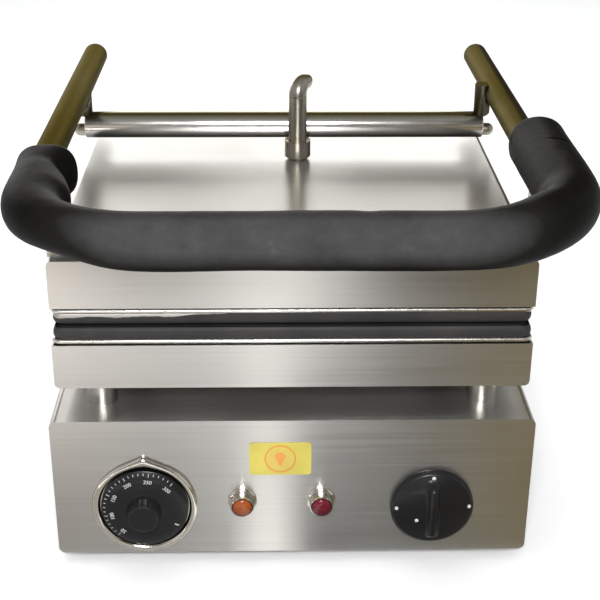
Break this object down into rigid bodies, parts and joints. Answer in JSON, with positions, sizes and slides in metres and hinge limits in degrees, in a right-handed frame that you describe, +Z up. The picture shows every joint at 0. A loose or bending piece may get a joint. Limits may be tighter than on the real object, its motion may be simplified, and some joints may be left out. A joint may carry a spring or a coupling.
{
  "type": "waffle cone maker",
  "caption": "Countertop waffle cone maker: a stainless base with dial, selector and lamps, and a hinged heated lid lifted by a padded U handle.",
  "frame": {"origin": "under the middle of the object's bounding box, on the surface it stands on", "axes": "+X to the user's right, +Y towards the rear, where the lid hinge and handle ends are, +Z up"},
  "size_m": [0.393, 0.4732, 0.3114],
  "materials": {
    "stainless": "brushed along the width",
    "cover_steel": "plain mill finish",
    "rubber": "matt black",
    "fasteners": "zinc plated",
    "pillar_steel": "turned and polished",
    "black_nylon": "moulded, matt",
    "terminal_ceramic": "white, matt",
    "thermostat_case": "zinc plated",
    "bezel_chrome": "polished chrome plate",
    "bulb_copper": "drawn copper",
    "lens_orange": "clear coloured, gloss",
    "lens_red": "clear coloured, gloss",
    "neon": "clear",
    "badge": "printed, gloss",
    "insulation": "mineral fibre pad",
    "element": "heat-darkened sheath",
    "plate_coating": "cast, dark non-stick coat",
    "hinge_steel": "satin",
    "tube_steel": "satin tube",
    "crossbar_steel": "polished stainless tube",
    "foam": "closed-cell foam, matt black",
    "spindle_steel": "turned",
    "knob_black": "moulded phenolic, gloss"
  },
  "bodies": {
    "base": {"base_case": "stainless", "lower_shell": "stainless", "lower_frame": "stainless", "bottom_cover": "cover_steel", "foot_front_left": "rubber", "foot_front_right": "rubber", "foot_rear_left": "rubber", "foot_rear_right": "rubber", "foot_screws": "fasteners", "pillar_screws": "fasteners", "pillar_front_left": "pillar_steel", "pillar_front_right": "pillar_steel", "pillar_rear_left": "pillar_steel", "pillar_rear_right": "pillar_steel", "cable_gland": "black_nylon", "gland_nut": "black_nylon", "terminal_block": "terminal_ceramic", "selector_body": "terminal_ceramic", "thermostat_body": "thermostat_case", "thermostat_bezel": "bezel_chrome", "lamp_bezel_left": "bezel_chrome", "lamp_bezel_right": "bezel_chrome", "sensing_bulb": "bulb_copper", "lamp_lens_left": "lens_orange", "lamp_lens_right": "lens_red", "lamp_neon_left": "neon", "lamp_neon_right": "neon", "badge": "badge", "lower_insulation": "insulation", "lower_heater": "element", "lower_plate": "plate_coating", "hinge_bracket_left": "hinge_steel", "hinge_bracket_right": "hinge_steel", "hinge_pin": "hinge_steel"},
    "lid": {"lid_shell": "stainless", "upper_insulation": "insulation", "upper_heater": "element", "upper_plate": "plate_coating", "upper_frame": "stainless", "hinge_arm_left": "hinge_steel", "hinge_arm_right": "hinge_steel", "handle_tube": "tube_steel", "handle_cap_left": "tube_steel", "handle_cap_right": "tube_steel", "foam_grip": "foam", "handle_bracket_left": "hinge_steel", "handle_bracket_right": "hinge_steel", "bracket_screws": "fasteners", "crossbar": "crossbar_steel", "hanger_left": "tube_steel", "hanger_right": "tube_steel", "tie_rod": "tube_steel", "dome_nuts": "tube_steel", "post_tube": "tube_steel", "post_elbow": "tube_steel", "post_collar": "tube_steel"},
    "dial": {"thermostat_spindle": "spindle_steel", "thermostat_dial": "knob_black"},
    "selector": {"selector_spindle": "spindle_steel", "selector_knob": "knob_black"}
  },
  "joints": [
    {"name": "lid_hinge", "type": "hinge", "parent": "base", "child": "lid", "pos_m": [0, 0.1721, 0.1881], "axis": [-1, 0, 0], "range_deg": [0, 117]},
    {"name": "thermostat_turn", "type": "hinge", "parent": "base", "child": "dial", "pos_m": [-0.109, -0.1469, 0.05], "axis": [0, 1, 0], "range_deg": [0, 300]},
    {"name": "selector_turn", "type": "hinge", "parent": "base", "child": "selector", "pos_m": [0.1025, -0.1469, 0.05], "axis": [0, 1, 0], "range_deg": [0, 270]}
  ]
}
